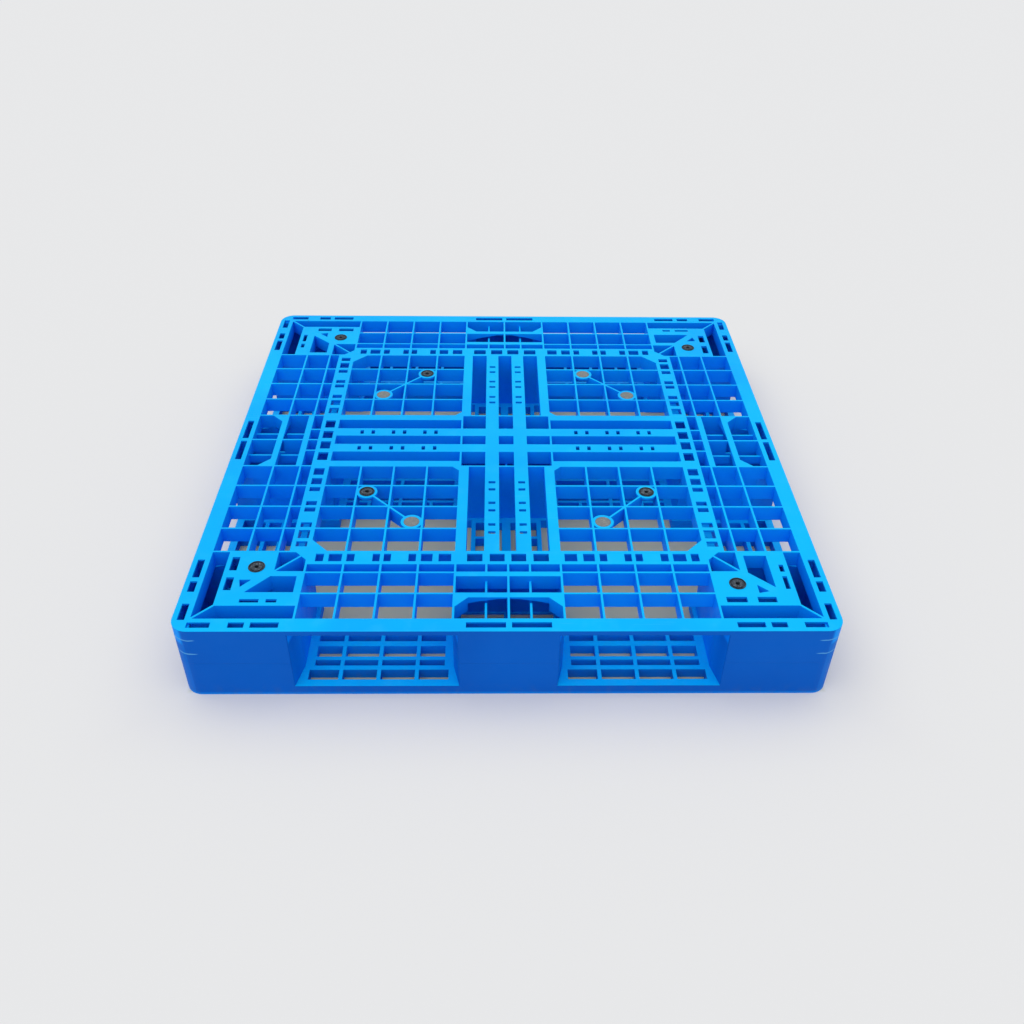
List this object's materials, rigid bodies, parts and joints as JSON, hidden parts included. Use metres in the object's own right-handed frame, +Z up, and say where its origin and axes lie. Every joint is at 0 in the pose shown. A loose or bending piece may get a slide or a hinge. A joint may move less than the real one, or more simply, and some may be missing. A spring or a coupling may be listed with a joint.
{
  "type": "plastic pallet",
  "caption": "Square four-way plastic pallet with a ribbed open deck, block legs, bottom runners and rubber grommets.",
  "frame": {"origin": "on the floor under the middle of the pallet", "axes": "+X to the right along the front side, +Y towards the rear side, +Z up"},
  "size_m": [1.1, 1.1, 0.1512],
  "materials": {
    "blue_plastic": "moulded polypropylene, satin, lightly scuffed",
    "grommet_rubber": "matt black rubber, dusty"
  },
  "bodies": {
    "root": {"upper_deck": "blue_plastic", "lower_deck": "blue_plastic", "corner_grommet_front_left": "grommet_rubber", "corner_grommet_front_right": "grommet_rubber", "corner_grommet_rear_right": "grommet_rubber", "corner_grommet_rear_left": "grommet_rubber", "deck_grommet_front_left": "grommet_rubber", "deck_grommet_front_right": "grommet_rubber", "deck_grommet_rear_left": "grommet_rubber"}
  },
  "joints": []
}
